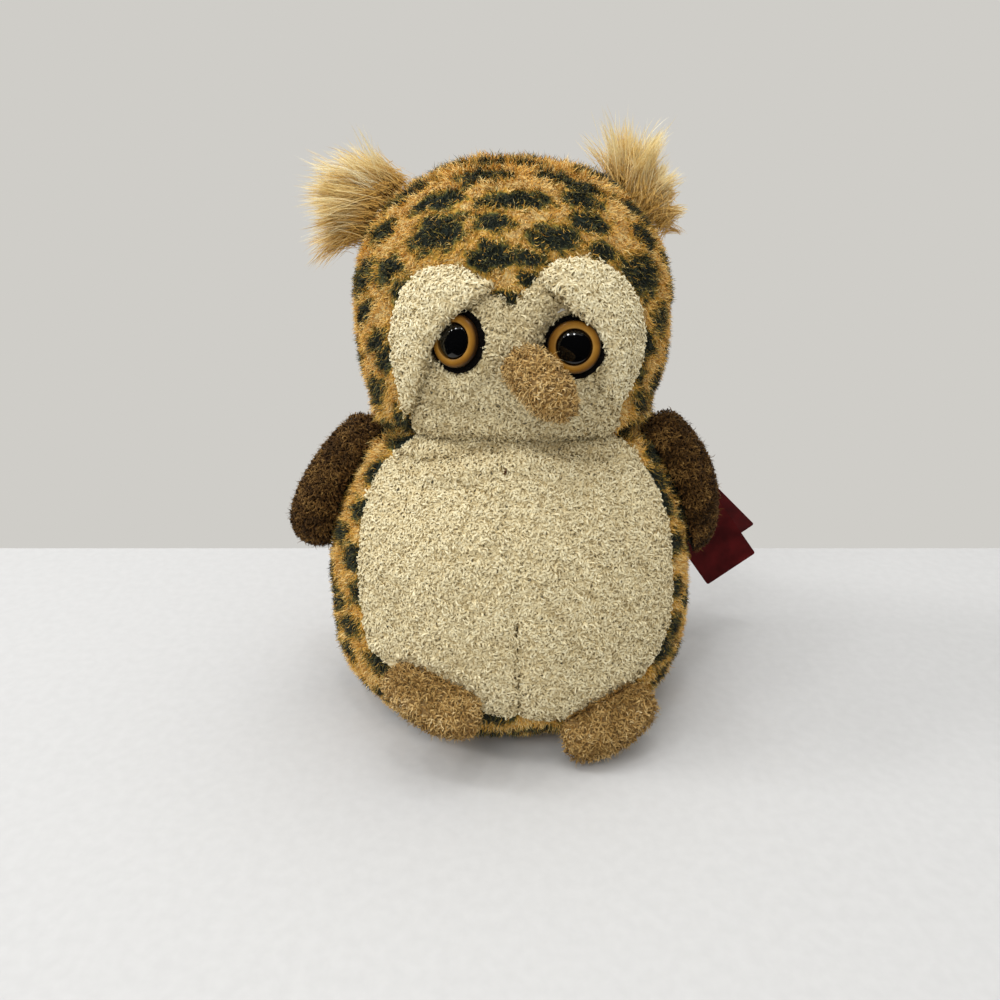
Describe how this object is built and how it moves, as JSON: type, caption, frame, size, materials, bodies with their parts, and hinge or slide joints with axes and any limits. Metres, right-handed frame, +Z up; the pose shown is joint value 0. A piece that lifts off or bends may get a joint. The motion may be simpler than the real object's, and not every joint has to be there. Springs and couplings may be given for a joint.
{
  "type": "plush owl",
  "caption": "Pear-shaped plush owl that sits on a flat bean-weighted bottom, with domed safety eyes, sewn-on wings, feet, beak and ear tufts, and a card tag.",
  "frame": {"origin": "where the toy's own axis meets the surface that it sits on", "axes": "+Z up, the owl faces -Y, and +X is to the right of someone who looks at its face"},
  "size_m": [0.1833, 0.1254, 0.1999],
  "materials": {
    "print_plush": "short pile printed in ochre with dark blotches",
    "cream_terry": "curly terry pile",
    "brown_pile": "deep pile",
    "gold_pile": "short pile",
    "long_fur": "long fur",
    "black_felt": "felt",
    "amber_plastic": "clear coat over amber",
    "black_plastic": "polished",
    "nylon": "moulded",
    "stuffing": "loose polyester fibre",
    "bag_cloth": "plain weave",
    "card": "laminated card"
  },
  "bodies": {
    "toy": {"head_cover": "print_plush", "body_cover": "print_plush", "base_panel": "print_plush", "face_patch": "cream_terry", "tummy_patch": "cream_terry", "lid_left": "cream_terry", "lid_right": "cream_terry", "eye_felt_left": "black_felt", "iris_left": "amber_plastic", "pupil_left": "black_plastic", "eye_washer_left": "nylon", "eye_felt_right": "black_felt", "iris_right": "amber_plastic", "pupil_right": "black_plastic", "eye_washer_right": "nylon", "head_stuffing": "stuffing", "body_stuffing": "stuffing", "pellet_bag": "bag_cloth", "tag_pin": "nylon"},
    "wing_left": {"wing_left": "brown_pile"},
    "wing_right": {"wing_right": "brown_pile"},
    "foot_left": {"foot_left": "gold_pile"},
    "foot_right": {"foot_right": "gold_pile"},
    "ear_left": {"ear_tuft_left": "long_fur"},
    "ear_right": {"ear_tuft_right": "long_fur"},
    "beak": {"beak": "gold_pile"},
    "tag_front": {"tag_front_leaf": "card"},
    "tag_back": {"tag_back_leaf": "card"}
  },
  "joints": [
    {"name": "wing_left_lift", "type": "hinge", "parent": "toy", "child": "wing_left", "pos_m": [-0.04279, 0.01264, 0.09899], "axis": [0, 0.9903, -0.1392], "range_deg": [0, 35]},
    {"name": "wing_right_lift", "type": "hinge", "parent": "toy", "child": "wing_right", "pos_m": [0.04126, 0.01288, 0.10041], "axis": [0, -0.9903, 0.1392], "range_deg": [0, 35]},
    {"name": "foot_left_lift", "type": "hinge", "parent": "toy", "child": "foot_left", "pos_m": [-0.02218, -0.04662, 0.03012], "axis": [-0.8638, 0.38, 0.3307], "range_deg": [0, 25], "stiffness_Nm_per_rad": 0.004},
    {"name": "foot_right_lift", "type": "hinge", "parent": "toy", "child": "foot_right", "pos_m": [0.02849, -0.04298, 0.02091], "axis": [-0.8665, -0.3349, -0.3702], "range_deg": [0, 25], "stiffness_Nm_per_rad": 0.004},
    {"name": "ear_left_fold", "type": "hinge", "parent": "toy", "child": "ear_left", "pos_m": [-0.04325, 0.0215, 0.17137], "axis": [-0.6543, -0.1052, -0.7489], "range_deg": [-18, 18], "stiffness_Nm_per_rad": 0.004},
    {"name": "ear_right_fold", "type": "hinge", "parent": "toy", "child": "ear_right", "pos_m": [0.04103, 0.02196, 0.17371], "axis": [-0.7115, 0.0978, 0.6958], "range_deg": [-18, 18], "stiffness_Nm_per_rad": 0.004},
    {"name": "beak_flop", "type": "hinge", "parent": "toy", "child": "beak", "pos_m": [0.00229, -0.0261, 0.13221], "axis": [-0.7021, -0.0991, -0.7052], "range_deg": [0, 20], "stiffness_Nm_per_rad": 0.004},
    {"name": "tag_swing", "type": "hinge", "parent": "toy", "child": "tag_front", "pos_m": [0.06599, 0.03615, 0.06561], "axis": [0, -0.9903, 0.1392], "range_deg": [0, 40]},
    {"name": "tag_open", "type": "hinge", "parent": "tag_front", "child": "tag_back", "pos_m": [0.06305, 0.03761, 0.06949], "axis": [0.809, 0.0818, 0.5821], "range_deg": [-15, 12], "stiffness_Nm_per_rad": 0.001}
  ]
}
